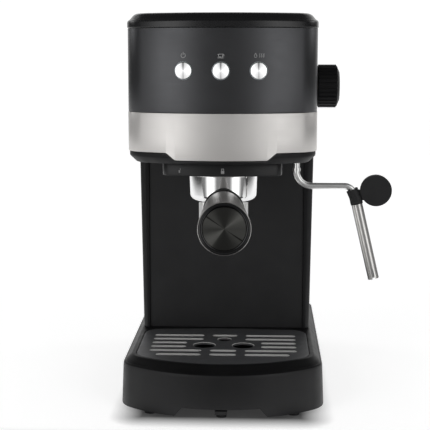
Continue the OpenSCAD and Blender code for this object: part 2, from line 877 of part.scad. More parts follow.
place() main_board();
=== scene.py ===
import json
import math
import bpy
import bmesh
from mathutils import Matrix, Vector


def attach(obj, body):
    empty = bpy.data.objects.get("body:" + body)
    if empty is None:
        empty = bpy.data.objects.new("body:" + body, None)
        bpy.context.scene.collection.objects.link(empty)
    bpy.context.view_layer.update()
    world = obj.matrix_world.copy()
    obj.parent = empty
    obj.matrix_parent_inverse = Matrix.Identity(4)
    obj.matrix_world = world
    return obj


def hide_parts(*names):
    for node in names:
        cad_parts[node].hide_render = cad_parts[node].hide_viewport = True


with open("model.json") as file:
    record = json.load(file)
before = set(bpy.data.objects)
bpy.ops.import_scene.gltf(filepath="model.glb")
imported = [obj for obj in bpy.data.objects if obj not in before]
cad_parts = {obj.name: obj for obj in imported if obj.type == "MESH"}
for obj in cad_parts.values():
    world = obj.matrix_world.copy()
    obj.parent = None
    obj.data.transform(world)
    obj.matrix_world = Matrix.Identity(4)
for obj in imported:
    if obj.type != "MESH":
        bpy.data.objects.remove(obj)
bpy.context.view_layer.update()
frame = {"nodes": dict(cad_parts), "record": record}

NODES = frame["nodes"]
SCENE = bpy.context.scene
rad, sin, cos = math.radians, math.sin, math.cos

# Machine axes in millimetres (x 0 is the middle plane, the brew axis is at y -78),
# carried into the row frame in metres.
SHIFT_X, SHIFT_Y = -26.5, 41.0
BREW_Y = -78.0
LID_Z, TOP_Z, FLOOR_Z, GRID_Z = 319.0, 331.0, 211.0, 46.0
SEAM_Y, TANK_Y, REAR_Y = -6.0, 87.0, 148.0
HEAD_HALF, HEAD_FRONT, HEAD_R = 77.3, -143.0, 130.0  # half width, foremost y, bow radius
BODY_HALF, BASE_HALF = 79.4, 86.0
COLLAR_FRONT, COLLAR_R = -124.0, 115.0
SPLIT_Z, SPLIT_GAP = 252.0, 0.15  # joint between the dark panel and the bright band
STEP_X, STEP_Z = (36.5, 44.5), (214.4, 220.2)  # step in the band's lower edge
KNOB_Y, KNOB_Z = -62.0, 271.4
BUTTONS, BUTTON_Z, BUTTON_HOLE_R = (("power", -29.7), ("brew", 0.0), ("steam", 29.7)), 285.5, 7.2
CAP_FACE_R, PRINT_Z = 6.3, 297.4
FAR = 200.0  # a cutter's end that is well outside the machine


def P(x, y, z):
    return Vector(((x + SHIFT_X) / 1000, (y + SHIFT_Y) / 1000, z / 1000))


# ------------------------------------------------------------------ outlines
def arc(cx, cy, r, a0, a1, n):
    return [(cx + r * cos(rad(a0 + (a1 - a0) * i / n)),
             cy + r * sin(rad(a0 + (a1 - a0) * i / n))) for i in range(n + 1)]


def spread(a, b, n, extra=()):
    """n steps from a to b, with some values put in exactly."""
    out = [a + (b - a) * i / n for i in range(n + 1)]
    gap = (b - a) / n / 3
    out = [v for v in out if all(abs(v - e) > abs(gap) for e in extra) or v in (a, b)]
    return sorted(out + [e for e in extra if min(a, b) < e < max(a, b)])


def bow(hw, fy, R, rc, d, n=34, m=16, marks=()):
    """Right half of a bowed front: front arc, then the corner."""
    cy = fy + R - math.sqrt((R - rc) ** 2 - (hw - rc) ** 2)
    t = math.degrees(math.atan2(cy - fy - R, hw - rc))
    steps = spread(-90.0, t, n, [-90 + math.degrees(math.asin(x / R)) for x in marks])
    front = [((R - d) * cos(rad(a)), fy + R + (R - d) * sin(rad(a))) for a in steps]
    return front + arc(hw - rc, cy, rc - d, t, 0, m)[1:]


def tail(hw, ry, rr, d, n=16):
    return arc(hw - rr, ry - rr, rr - d, 0, 90, n)


def mirrored(p):
    """A whole outline from its right half."""
    return p + [(-x, y) for x, y in reversed(p[1:])]


def body_plan(d):
    return mirrored(bow(HEAD_HALF, HEAD_FRONT, HEAD_R, 26, d) + [(BODY_HALF - d, -12)]
                    + tail(BODY_HALF, REAR_Y, 22, d))


def base_plan(d):
    return mirrored(bow(BASE_HALF, -145, 118, 26, d) + tail(BASE_HALF, REAR_Y, 26, d))


def rim_plan(d):
    return mirrored(bow(77.5, -134, 117, 22, d) + tail(77.5, REAR_Y - 5, 22, d))


def grid_plan(d):
    return mirrored(bow(73.5, -131, 115, 22, d) + arc(73.5 - 17, -27, 17 - d, 0, 62, 14)
                    + [(32, -9.5 - d), (16, -8.4 - d)])


def collar_plan(d):
    return mirrored(bow(49, COLLAR_FRONT, COLLAR_R, 8, d) + tail(49, -33, 6, d, 10))


def warming_plan(d):
    return mirrored(bow(62, -118, 130, 18, d) + tail(62, 72, 12, d))


def cup_plan(d):
    return mirrored(bow(70 - d, -126 + d, 112, 18, 0) + tail(70 - d, -14, 8, 0))


# ------------------------------------------------------------------ mesh helpers
def mesh_object(name, verts, faces):
    me = bpy.data.meshes.new(name)
    me.from_pydata([tuple(v) for v in verts], [], faces)
    bm = bmesh.new()
    bm.from_mesh(me)
    bmesh.ops.remove_doubles(bm, verts=bm.verts, dist=1e-7)
    bmesh.ops.recalc_face_normals(bm, faces=bm.faces)
    bm.to_mesh(me)
    bm.free()
    ob = bpy.data.objects.new(name, me)
    SCENE.collection.objects.link(ob)
    return ob


def loft(name, rings):
    """Closed solid through rings of equal length, each a list of (x, y, z) in millimetres."""
    n = len(rings[0])
    verts = [P(*p) for ring in rings for p in ring]
    faces = [[k * n + i, k * n + (i + 1) % n, (k + 1) * n + (i + 1) % n, (k + 1) * n + i]
             for k in range(len(rings) - 1) for i in range(n)]
    faces.append(list(range(n)))
    faces.append([(len(rings) - 1) * n + i for i in range(n)])
    return mesh_object(name, verts, faces)


def prism(name, plan, z0, z1):
    return loft(name, [[(x, y, z0) for x, y in plan], [(x, y, z1) for x, y in plan]])


def sweep(name, loops):
    """Open sweep: each loop is one closed cross-section, the two ends are capped."""
    m = len(loops[0])
    verts = [P(*p) for loop in loops for p in loop]
    faces = [[k * m + i, k * m + (i + 1) % m, (k + 1) * m + (i + 1) % m, (k + 1) * m + i]
             for k in range(len(loops) - 1) for i in range(m)]
    faces.append(list(range(m)))
    faces.append([(len(loops) - 1) * m + i for i in range(m)])
    return mesh_object(name, verts, faces)


def block(name, x0, x1, y0, y1, z0, z1):
    return prism(name, [(x0, y0), (x1, y0), (x1, y1), (x0, y1)], z0, z1)


def rod(name, a, b, r, n=64):
    """Cylinder from a to b, millimetres in machine axes."""
    A, B = P(*a), P(*b)
    q = (B - A).to_track_quat("Z", "Y")
    verts = []
    for end in (A, B):
        for i in range(n):
            t = 2 * math.pi * i / n
            verts.append(end + q @ Vector((r / 1000 * cos(t), r / 1000 * sin(t), 0)))
    faces = [[i, (i + 1) % n, n + (i + 1) % n, n + i] for i in range(n)]
    return mesh_object(name, verts, faces + [list(range(n)), list(range(n, 2 * n))])


def lathe(name, profile, place, n=96, closed=False):
    """Solid of revolution: profile is (radius, height) in millimetres, place a 4x4 matrix."""
    verts, faces = [], []
    for r, h in profile:
        for i in range(n):
            t = 2 * math.pi * i / n
            verts.append(place @ Vector((r / 1000 * cos(t), r / 1000 * sin(t), h / 1000)))
    m = len(profile)
    for k in range(m if closed else m - 1):
        q = (k + 1) % m
        for i in range(n):
            j = (i + 1) % n
            faces.append([k * n + i, k * n + j, q * n + j, q * n + i])
    if not closed:
        faces.append(list(range(n)))
        faces.append([(m - 1) * n + i for i in range(n)])
    return mesh_object(name, verts, faces)


def slab_at(name, plan, z0, z1, place):
    """Prism of a plan in the local frame of place, millimetres."""
    n = len(plan)
    verts = [place @ Vector((x / 1000, y / 1000, z / 1000)) for z in (z0, z1) for x, y in plan]
    faces = [[i, (i + 1) % n, n + (i + 1) % n, n + i] for i in range(n)]
    return mesh_object(name, verts, faces + [list(range(n)), list(range(n, 2 * n))])


def carve(ob, cutter, operation="DIFFERENCE"):
    mod = ob.modifiers.new("carve", "BOOLEAN")
    mod.operation, mod.solver, mod.object = operation, "EXACT", cutter
    dg = bpy.context.evaluated_depsgraph_get()
    me = bpy.data.meshes.new_from_object(ob.evaluated_get(dg))
    ob.modifiers.clear()
    old, ob.data = ob.data, me
    bpy.data.meshes.remove(old)
    bpy.data.objects.remove(cutter)
    return ob


def join(name, obs):
    bm = bmesh.new()
    for o in obs:
        bm.from_mesh(o.data)
    me = bpy.data.meshes.new(name)
    bm.to_mesh(me)
    bm.free()
    for o in obs:
        bpy.data.objects.remove(o)
    ob = bpy.data.objects.new(name, me)
    SCENE.collection.objects.link(ob)
    return ob


def smooth(ob, angle=28):
    ob.data.polygons.foreach_set("use_smooth", [True] * len(ob.data.polygons))
    ob.data.set_sharp_from_angle(angle=rad(angle))


# ------------------------------------------------------------------ materials
def calc(tree, operation, *values):
    """A math node; each value is a number or the output of another node."""
    node = tree.nodes.new("ShaderNodeMath")
    node.operation = operation
    for socket, value in zip(node.inputs, values):
        if isinstance(value, (int, float)):
            socket.default_value = value
        else:
            tree.links.new(value, socket)
    return node.outputs[0]


class Graph:
    """Small wrapper that keeps the node code short."""

    def __init__(self, name):
        self.mat = bpy.data.materials.new(name)
        self.mat.use_nodes = True
        self.tree = self.mat.node_tree
        self.bsdf = self.tree.nodes["Principled BSDF"]
        self.coord = self.tree.nodes.new("ShaderNodeTexCoord")

    def add(self, kind, **values):
        node = self.tree.nodes.new(kind)
        for key, value in values.items():
            if key in node.inputs:
                node.inputs[key].default_value = value
            else:
                setattr(node, key, value)
        return node

    def link(self, a, b):
        self.tree.links.new(a, b)

    def calc(self, operation, *values):
        return calc(self.tree, operation, *values)

    def noise(self, scale, stretch=(1, 1, 1), detail=2.0, rough=0.5):
        mapping = self.add("ShaderNodeMapping")
        mapping.inputs["Scale"].default_value = stretch
        self.link(self.coord.outputs["Object"], mapping.inputs["Vector"])
        tex = self.add("ShaderNodeTexNoise", Scale=scale, Detail=detail, Roughness=rough)
        self.link(mapping.outputs["Vector"], tex.inputs["Vector"])
        return tex.outputs["Fac"]

    def rings(self, centre, axis, scale):
        """Noise that depends only on the distance from an axis through centre."""
        shift = self.add("ShaderNodeVectorMath", operation="SUBTRACT")
        shift.inputs[1].default_value = centre
        self.link(self.coord.outputs["Object"], shift.inputs[0])
        flat = self.add("ShaderNodeVectorMath", operation="MULTIPLY")
        flat.inputs[1].default_value = [0.0 if i == axis else 1.0 for i in range(3)]
        self.link(shift.outputs[0], flat.inputs[0])
        length = self.add("ShaderNodeVectorMath", operation="LENGTH")
        self.link(flat.outputs[0], length.inputs[0])
        tex = self.add("ShaderNodeTexNoise", noise_dimensions="1D", Scale=scale, Detail=3.0)
        self.link(length.outputs["Value"], tex.inputs["W"])
        return tex.outputs["Fac"]

    def painted_reflection(self, centre, stops):
        """Painted reflection: a grey value by the angle about a point of the machine's front
        (degrees from +X up), bright and dark wedges that stand in for lit reflections.
        """
        shift = self.add("ShaderNodeVectorMath", operation="SUBTRACT")
        shift.inputs[1].default_value = centre
        self.link(self.coord.outputs["Object"], shift.inputs[0])
        split = self.add("ShaderNodeSeparateXYZ")
        self.link(shift.outputs[0], split.inputs[0])
        turn = self.calc("ARCTAN2", split.outputs["Z"], split.outputs["X"])
        share = self.calc("FRACT", self.calc("MULTIPLY_ADD", turn, 1 / (2 * math.pi), 1.0))
        ramp = self.add("ShaderNodeValToRGB")
        points = ramp.color_ramp.elements
        for k, (degrees, _) in enumerate(stops):
            if k < 2:
                points[k].position = degrees / 360
            else:
                points.new(degrees / 360)
        for point, (degrees, level) in zip(sorted(points, key=lambda e: e.position), stops):
            point.color = (level, level, level, 1)
        self.link(share, ramp.inputs["Fac"])
        return ramp.outputs["Color"]

    def times(self, a, b):
        mix = self.add("ShaderNodeMix", data_type="RGBA", blend_type="MULTIPLY")
        mix.inputs["Factor"].default_value = 1.0
        self.link(a, mix.inputs["A"])
        self.link(b, mix.inputs["B"])
        return mix.outputs["Result"]

    def spread(self, fac, low, high, from_low=0.3, from_high=0.7):
        rng = self.add("ShaderNodeMapRange")
        for key, value in (("From Min", from_low), ("From Max", from_high),
                           ("To Min", low), ("To Max", high)):
            rng.inputs[key].default_value = value
        self.link(fac, rng.inputs["Value"])
        return rng.outputs["Result"]

    def bump(self, fac, strength, distance, under=None):
        node = self.add("ShaderNodeBump", Strength=strength, Distance=distance)
        self.link(fac, node.inputs["Height"])
        if under is not None:
            self.link(under, node.inputs["Normal"])
        return node.outputs["Normal"]

    def tint(self, fac, dark, light):
        mix = self.add("ShaderNodeMix", data_type="RGBA")
        mix.inputs["A"].default_value = (*dark, 1)
        mix.inputs["B"].default_value = (*light, 1)
        self.link(fac, mix.inputs["Factor"])
        return mix.outputs["Result"]


def shade(name, base, rough, metal=0.0, vary=0.12, grain=(9000, 0.05), brush=None, spun=None,
          rough_vary=0.12, specular=None, aniso=None, emit=None, alpha=None, transmission=None,
          painted_reflection=None):
    """One procedural surface: colour drift, roughness drift, fine relief, and a direction;
    optionally a painted reflection, grey by angle, multiplied into the colour, which with emit also
    glows.
    """
    g = Graph(name)
    b = g.bsdf
    b.inputs["Metallic"].default_value = metal
    drift = g.noise(38, detail=3.0)
    dark = [c * (1 - vary) for c in base]
    light = [min(1.0, c * (1 + vary)) for c in base]
    colour = g.tint(g.spread(drift, 0, 1), dark, light)
    # painted reflection: grey wedges by angle multiplied into the base colour
    if painted_reflection:
        level = g.painted_reflection(*painted_reflection)
        colour = g.times(colour, level)
        # with emit the painted reflection glows as well
        if emit is not None:
            g.link(level, b.inputs["Emission Color"])
    g.link(colour, b.inputs["Base Color"])
    fine = g.noise(grain[0], detail=2.0)
    smudge = g.noise(90, detail=4.0, rough=0.6)
    uneven = g.spread(smudge, rough * (1 - rough_vary), rough * (1 + rough_vary))
    streak = None
    if brush:
        streak = g.noise(brush["scale"], brush["stretch"], detail=3.0)
    if spun:
        streak = g.rings(spun["centre"], spun["axis"], spun["scale"])
    if streak is not None:
        texture = g.spread(streak, -0.05, 0.05)
    else:
        texture = g.spread(fine, -0.03, 0.03)
    g.link(g.calc("ADD", uneven, texture), b.inputs["Roughness"])
    normal = g.bump(fine, grain[1], 0.0002)
    if streak is not None:
        relief = (brush or spun)["relief"]
        normal = g.bump(streak, relief, 0.0002, normal)
    g.link(normal, b.inputs["Normal"])
    if aniso is not None:
        b.inputs["Anisotropic"].default_value = aniso["amount"]
        b.inputs["Anisotropic Rotation"].default_value = aniso["turn"]
        tangent = g.add("ShaderNodeTangent", direction_type="RADIAL", axis=aniso["axis"])
        g.link(tangent.outputs["Tangent"], b.inputs["Tangent"])
    if specular is not None:
        b.inputs["Specular IOR Level"].default_value = specular
    if emit is not None:
        b.inputs["Emission Color"].default_value = (*emit[0], 1)
        b.inputs["Emission Strength"].default_value = emit[1]
    if alpha is not None:
        b.inputs["Alpha"].default_value = alpha
    if transmission is not None:
        b.inputs["Transmission Weight"].default_value = transmission
    return g.mat


def dress(ob, mat):
    ob.data.materials.clear()
    ob.data.materials.append(mat)


BRUSH_ROUND = {"scale": 1.0, "stretch": (14, 14, 5200), "relief": 0.10}

DISC_HUB = tuple(P(5.8, -228, 173.4))  # centre of the handle's end disc

MAT = {
    "black_moulding": shade("black_moulding", (0.0105, 0.0105, 0.0115), 0.45, grain=(5200, 0.08),
                            specular=0.42),
    "black_gloss": shade("black_gloss", (0.006, 0.006, 0.007), 0.26, grain=(900, 0.003),
                         specular=0.5),
    "black_panel_metal": shade("black_panel_metal", (0.082, 0.083, 0.087), 0.36, metal=0.95,
                               vary=0.04, grain=(3000, 0.02), rough_vary=0.06,
                               brush=BRUSH_ROUND),
    "bright_brushed": shade("bright_brushed", (0.76, 0.74, 0.72), 0.45, metal=0.86, vary=0.015,
                            grain=(3000, 0.02), rough_vary=0.06, brush=BRUSH_ROUND),
    "steel_plain": shade("steel_plain", (0.60, 0.59, 0.58), 0.30, metal=1.0, vary=0.05,
                         brush={"scale": 1.0, "stretch": (300, 3000, 300), "relief": 0.05}),
    "polished_steel": shade("polished_steel", (0.86, 0.86, 0.86), 0.07, metal=1.0, vary=0.03,
                            grain=(700, 0.008)),
    "handle_metal": shade("handle_metal", (0.42, 0.41, 0.40), 0.34, metal=1.0, vary=0.05,
                          brush={"scale": 1.0, "stretch": (200, 4200, 200), "relief": 0.06}),
    "grid_metal": shade("grid_metal", (0.34, 0.34, 0.345), 0.42, metal=0.85, vary=0.06,
                        grain=(5200, 0.16)),
    # handle's end disc: a painted reflection of the softboxes, bright and dark wedges and two dark
    # lines by angle, multiplied into its colour
    "spun_black": shade("spun_black", (0.17, 0.17, 0.16), 0.42, metal=1.0, vary=0.03,
                        grain=(3000, 0.004), rough_vary=0.02,
                        spun={"centre": DISC_HUB, "axis": 1, "scale": 3600, "relief": 0.02},
                        aniso={"amount": 0.93, "axis": "Y", "turn": 0.25},
                        painted_reflection=(DISC_HUB, (
                            (0, 0.36), (22, 0.50), (38, 0.85), (47, 0.62), (56, 0.50), (90, 0.48),
                            (134, 0.50), (142.5, 0.45), (144.2, 0.03), (146.2, 0.03), (148, 0.50),
                            (166, 0.42), (182, 0.26), (192, 0.32), (206, 0.62), (222, 1.0),
                            (231, 1.15), (236, 0.60), (243, 0.46), (270, 0.46), (318, 0.50),
                            (323.5, 0.40), (324.8, 0.03), (327.0, 0.03), (329, 0.45), (345, 0.40),
                            (360, 0.36)))),
    "cast_alloy": shade("cast_alloy", (0.55, 0.55, 0.56), 0.5, metal=0.9, grain=(1800, 0.3)),
    "brass_plain": shade("brass_plain", (0.72, 0.52, 0.22), 0.3, metal=1.0, grain=(2500, 0.05)),
    "rubber_black": shade("rubber_black", (0.018, 0.018, 0.019), 0.62, grain=(4200, 0.16),
                          specular=0.35),
    "rubber_red": shade("rubber_red", (0.45, 0.12, 0.08), 0.6, grain=(2600, 0.12)),
    "hose_clear": shade("hose_clear", (0.72, 0.72, 0.68), 0.35, grain=(900, 0.05),
                        transmission=0.35),
    "tank_clear": shade("tank_clear", (0.035, 0.037, 0.040), 0.14, grain=(600, 0.02), alpha=0.80,
                        specular=0.4),
    "plastic_white": shade("plastic_white", (0.66, 0.65, 0.60), 0.45, grain=(3000, 0.08)),
    "plastic_red": shade("plastic_red", (0.55, 0.05, 0.03), 0.4, grain=(3000, 0.08)),
    "board_green": shade("board_green", (0.03, 0.16, 0.06), 0.35, grain=(1500, 0.10)),
    "element_metal": shade("element_metal", (0.33, 0.29, 0.26), 0.42, metal=1.0,
                           grain=(2500, 0.08)),
    "ring_light": shade("ring_light", (0.80, 0.84, 0.90), 0.4, grain=(1500, 0.03),
                        emit=((0.85, 0.92, 1.0), 0.20)),
    # blacks of single pieces
    "black_matte": shade("black_matte", (0.009, 0.009, 0.010), 0.5, grain=(5200, 0.10),
                         specular=0.24),
    "black_satin": shade("black_satin", (0.0215, 0.0215, 0.0222), 0.36, grain=(5200, 0.06),
                         specular=0.28),
    "black_column": shade("black_column", (0.0150, 0.0150, 0.0160), 0.45, grain=(5200, 0.08),
                          specular=0.5),
    "black_shine": shade("black_shine", (0.004, 0.004, 0.0045), 0.15, grain=(900, 0.01),
                         specular=0.5),
    # base: moulded sides, and a slightly smoother sloping rim with painted shade: darker colour and
    # lower specular on the faces that slope up
    "black_base": shade("black_base", (0.0170, 0.0170, 0.0178), 0.45, grain=(5200, 0.06),
                        specular=0.28),
    "black_rim_painted_shade": shade("black_rim_painted_shade", (0.0085, 0.0085, 0.0090), 0.42, grain=(5200, 0.06),
                        specular=0.10),
    # steels of the spout, the frothing sleeve and the wand
    "satin_steel": shade("satin_steel", (0.82, 0.82, 0.81), 0.36, metal=1.0, vary=0.03,
                         grain=(2200, 0.03)),
    "tube_steel": shade("tube_steel", (0.66, 0.65, 0.63), 0.30, metal=1.0, vary=0.03,
                        grain=(2200, 0.015), rough_vary=0.04),
    "wand_steel": shade("wand_steel", (0.95, 0.95, 0.94), 0.30, metal=1.0, vary=0.02,
                        grain=(2200, 0.01), rough_vary=0.04),
    # grid: coated plate with bare cut edges
    "grid_coat": shade("grid_coat", (0.105, 0.107, 0.112), 0.46, metal=0.25,
                       grain=(5200, 0.16), vary=0.05),
    "grid_edge": shade("grid_edge", (0.80, 0.80, 0.78), 0.5, metal=0.2, grain=(3000, 0.05),
                       vary=0.02),
    "print_grey": shade("print_grey", (0.42, 0.42, 0.42), 0.5, grain=(3000, 0.05)),
}
# button caps: a painted reflection, grey by angle, in the colour, and the same painted light
# glowing through the emission although the caps are no lamps
for key, x in BUTTONS:
    hub = tuple(P(x, HEAD_FRONT, BUTTON_Z))
    MAT["spun_" + key] = shade("spun_" + key, (0.95, 0.96, 0.98), 0.40, metal=1.0, vary=0.02,
                               grain=(3000, 0.004), rough_vary=0.02,
                               spun={"centre": hub, "axis": 1, "scale": 5200, "relief": 0.03},
                               aniso={"amount": 0.7, "axis": "Y", "turn": 0.25},
                               emit=((0.9, 0.95, 1.0), 0.62),
                               painted_reflection=(hub, (
                                   (0, 1.0), (60, 0.92), (78, 0.80), (85, 0.34), (91, 0.16),
                                   (96, 0.34), (104, 0.80), (120, 0.92), (180, 1.0), (250, 0.92),
                                   (262, 0.80), (270, 0.42), (278, 0.80), (290, 0.92),
                                   (360, 1.0))))

# CAD nodes whose look isn't the one of their slot
OWN_LOOK = {"button_power": "spun_power", "button_brew": "spun_brew", "button_steam": "spun_steam",
            "spout": "satin_steel", "steam_tip": "satin_steel", "froth_sleeve": "tube_steel",
            "steam_wand": "wand_steel", "wand_nut": "black_matte", "steam_knob": "black_matte"}
for row in frame["record"]["subparts"]:
    dress(NODES[row["node"]], MAT[OWN_LOOK.get(row["node"], row["material_slot"])])


def two_looks(ob, first, second, pick):
    """Give the polygons chosen by pick the second look."""
    ob.data.materials.clear()
    ob.data.materials.append(MAT[first])
    ob.data.materials.append(MAT[second])
    for poly in ob.data.polygons:
        poly.material_index = 1 if pick(poly) else 0


def stand_in(ob, node, body, slot, angle=28, look=None):
    """A finer piece that replaces a CAD node; its look is the slot's unless one is given."""
    smooth(ob, angle)
    dress(ob, MAT[look or slot])
    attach(ob, body)
    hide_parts(node)
    return ob


def detail(ob, body, mat, slot, angle=28):
    """A small surface detail that has no CAD node."""
    smooth(ob, angle)
    dress(ob, MAT[mat])
    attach(ob, body)
    return ob


def ring_of(plan, z):
    return [(x, y, z) for x, y in plan]


def mix_plan(a, b, t):
    return [(p[0] + (q[0] - p[0]) * t, p[1] + (q[1] - p[1]) * t) for p, q in zip(a, b)]


# ------------------------------------------------------------------ lid
def lid_solid(name):
    rings = [ring_of(body_plan(-0.1), LID_Z + 0.35), ring_of(body_plan(-0.5), LID_Z + 0.8),
             ring_of(body_plan(-0.5), LID_Z + 4.4), ring_of(body_plan(-0.3), LID_Z + 5.2),
             ring_of(body_plan(0.1), LID_Z + 5.9)]
    for d, dz in ((0.6, 6.3), (1.3, 6.75), (2.0, 7.35), (3.0, 8.5), (4.0, 9.65), (4.7, 10.35),
                  (5.4, 10.85), (6.2, 11.3), (7.1, 11.65), (8.2, 11.88), (9.5, 12.0)):
        rings.append(ring_of(body_plan(d), LID_Z + dz))
    return loft(name, rings)


lid = lid_solid("lid_shell")
carve(lid, block("c", -100, 100, TANK_Y - 1, FAR, 300, 340))
carve(lid, prism("c", warming_plan(0), TOP_Z - 1.5, TOP_Z + 2))
stand_in(lid, "top_cover", "machine", "black_gloss", 35)

tank_lid = lid_solid("tank_lid_shell")
carve(tank_lid, block("c", -100, 100, -FAR, TANK_Y + 1.2, 300, 340))
carve(tank_lid, block("c", -100, 100, REAR_Y - 1, FAR, 300, 340))
carve(tank_lid, block("c", -14, 14, TANK_Y, TANK_Y + 5, TOP_Z - 3, TOP_Z + 2))
hinge_pin = rod("pin", (-20, 147.2, 319.4), (20, 147.2, 319.4), 0.8, 24)
tank_lid = join("tank_lid_shell", [tank_lid, hinge_pin])
stand_in(tank_lid, "tank_lid", "lid", "black_gloss", 35)

plate = loft("warming_sheet", [ring_of(warming_plan(0.4), TOP_Z - 1.5),
                               ring_of(warming_plan(0.4), TOP_Z - 0.8),
                               ring_of(warming_plan(0.7), TOP_Z - 0.5)])
WARM_SLOTS, WARM_Y0, WARM_PITCH = 10, -92, 16
for j in range(WARM_SLOTS):
    y = WARM_Y0 + WARM_PITCH * j
    carve(plate, block("c", -45, 45, y - 1.5, y + 1.5, TOP_Z - 3, TOP_Z + 1))
stand_in(plate, "cup_warming_plate", "machine", "steel_plain")

# ------------------------------------------------------------------ head skins
SKIN_END = -98.0


def skin_columns(d, marks=()):
    """Right half of the head's path at inset d, cut off at SKIN_END."""
    full = bow(HEAD_HALF, HEAD_FRONT, HEAD_R, 26, d, n=60, m=22, marks=marks)
    out = [p for p in full if p[1] < SKIN_END]
    return out + [(HEAD_HALF - d + 0.13, SKIN_END)]


def head_skin(name, d_out, d_in, bottom, top, marks=()):
    """Curved sheet round the front of the head; bottom gives its lower edge by column."""
    r = 0.35
    paths = {d: skin_columns(d, marks) for d in (d_out, d_out + r * 0.3, d_out + r, d_in)}
    ref = paths[d_out]
    n = min(len(p) for p in paths.values())
    loops = []
    for side in (-1, 1):
        idx = range(n - 1, 0, -1) if side < 0 else range(n)
        for i in idx:
            z0 = bottom(abs(ref[i][0]))
            section = [(d_in, z0), (d_out + r, z0), (d_out + r * 0.3, z0 + r * 0.3),
                       (d_out, z0 + r), (d_out, top - r), (d_out + r * 0.3, top - r * 0.3),
                       (d_out + r, top), (d_in, top)]
            loops.append([(side * paths[d][i][0], paths[d][i][1], z) for d, z in section])
    return sweep(name, loops)


def band_bottom(x):
    """Height of the band's lower edge at a distance x from the middle."""
    t = min(1.0, max(0.0, (x - STEP_X[0]) / (STEP_X[1] - STEP_X[0])))
    t = t * t * (3 - 2 * t) * 0.35 + t * 0.65
    return STEP_Z[0] + (STEP_Z[1] - STEP_Z[0]) * t


panel = head_skin("front_sheet", 0.0, 1.5, lambda x: SPLIT_Z + SPLIT_GAP, LID_Z)
for _, x in BUTTONS:
    carve(panel, rod("c", (x, -150, BUTTON_Z), (x, -130, BUTTON_Z), BUTTON_HOLE_R, 72))
stand_in(panel, "front_panel", "machine", "black_panel_metal", 24)
band = head_skin("bright_sheet", -0.2, 1.5, band_bottom, SPLIT_Z - SPLIT_GAP,
                 marks=(36.0, 36.5, 37.2, 38.5, 40.5, 42.5, 43.8, 44.5, 45.0))
stand_in(band, "trim_band", "machine", "bright_brushed", 24)

# lower trim of the head
trim = loft("lower_trim", [ring_of(body_plan(d), z) for d, z in (
    (6.9, FLOOR_Z), (6.2, FLOOR_Z + 0.3), (1.4, 215.8), (0.9, 216.6), (0.8, 217.4), (0.8, 219.6),
    (1.0, 219.95), (2.6, 220.0), (2.6, 222.0))])
carve(trim, block("c", -100, 100, SEAM_Y - 0.3, FAR, 200, 240))
carve(trim, prism("c", body_plan(4), FLOOR_Z + 2.5, 230))
carve(trim, rod("c", (0, BREW_Y, 200), (0, BREW_Y, 230), 42, 96))
carve(trim, rod("c", (61, -106, 200), (61, -106, 230), 6.2, 48))
stand_in(trim, "head_lower_trim", "machine", "black_moulding", look="black_matte")

# collar of the brew group
collar = loft("collar_block", [ring_of(collar_plan(d), z) for d, z in (
    (0.6, 200.0), (0.15, 200.25), (0.0, 200.7), (0.0, 210.2), (0.2, 210.6), (0.8, 210.9))])
carve(collar, rod("c", (0, BREW_Y, 195), (0, BREW_Y, 215), 41, 96))
stand_in(collar, "group_housing", "machine", "black_moulding", look="black_satin")


# ------------------------------------------------------------------ column
def taper(z):
    """How far the column's sides have drawn in at height z."""
    return 2.6 * (207 - z) / 168 if z < 207 else 0.0


def side_panel(name, s):
    """Side skin, s -1 left and 1 right: the head's flank, and the column's with its round front."""
    t = 2.5
    upper = []
    ys = [-97.8, -97.4] + [-97 + 85 * i / 14 for i in range(15)]
    ys += [-11 + 96.6 * i / 8 for i in range(9)] + [86]
    for y in ys:
        x = 77.43 + (BODY_HALF - 77.43) * (y + 97.8) / 85.8 if y < -12 else BODY_HALF
        e = 0.3 if y in (-97.8, 86) else 0.0
        upper.append([(s * (x - t), y, 220.2), (s * (x - e), y, 220.2),
                      (s * (x - e), y, LID_Z - 0.3), (s * (x - 0.3 - e), y, LID_Z),
                      (s * (x - t), y, LID_Z)])
    a = sweep(name + "_a", upper)
    rc = 6.0
    path = [((70.75, SEAM_Y + 0.8), (70.75, SEAM_Y + 3.0)),
            ((70.95, SEAM_Y + 0.5), (70.95, SEAM_Y + 3.0))]
    for i in range(15):
        q = rad(-90 + 90 * i / 14)
        path.append(((BODY_HALF - rc + rc * cos(q), SEAM_Y + 6.5 + rc * sin(q)),
                     (BODY_HALF - rc + (rc - t) * cos(q), SEAM_Y + 6.5 + (rc - t) * sin(q))))
    path += [((BODY_HALF, y), (BODY_HALF - t, y)) for y in (20, 50, 85.7)]
    path += [((79.1, 86), (BODY_HALF - t, 86))]
    zs = [GRID_Z + 0.2, 60, 90, 120, 150, 180, 207, 220.2]
    loops = []
    for outer, inner_p in path:
        k = min(1.0, max(0.0, (outer[0] - 71) / 6))
        loop = [(s * (outer[0] - k * taper(z)), outer[1], z) for z in zs]
        loop += [(s * (inner_p[0] - k * taper(z)), inner_p[1], z) for z in reversed(zs)]
        loops.append(loop)
    b = sweep(name + "_b", loops)
    return join(name, [a, b])


left = side_panel("side_shell_left", -1)
stand_in(left, "side_panel_left", "machine", "black_moulding", look="black_matte")
right = side_panel("side_shell_right", 1)
carve(right, rod("c", (70, KNOB_Y, KNOB_Z), (90, KNOB_Y, KNOB_Z), 9, 64))
stand_in(right, "side_panel_right", "machine", "black_moulding", look="black_matte")


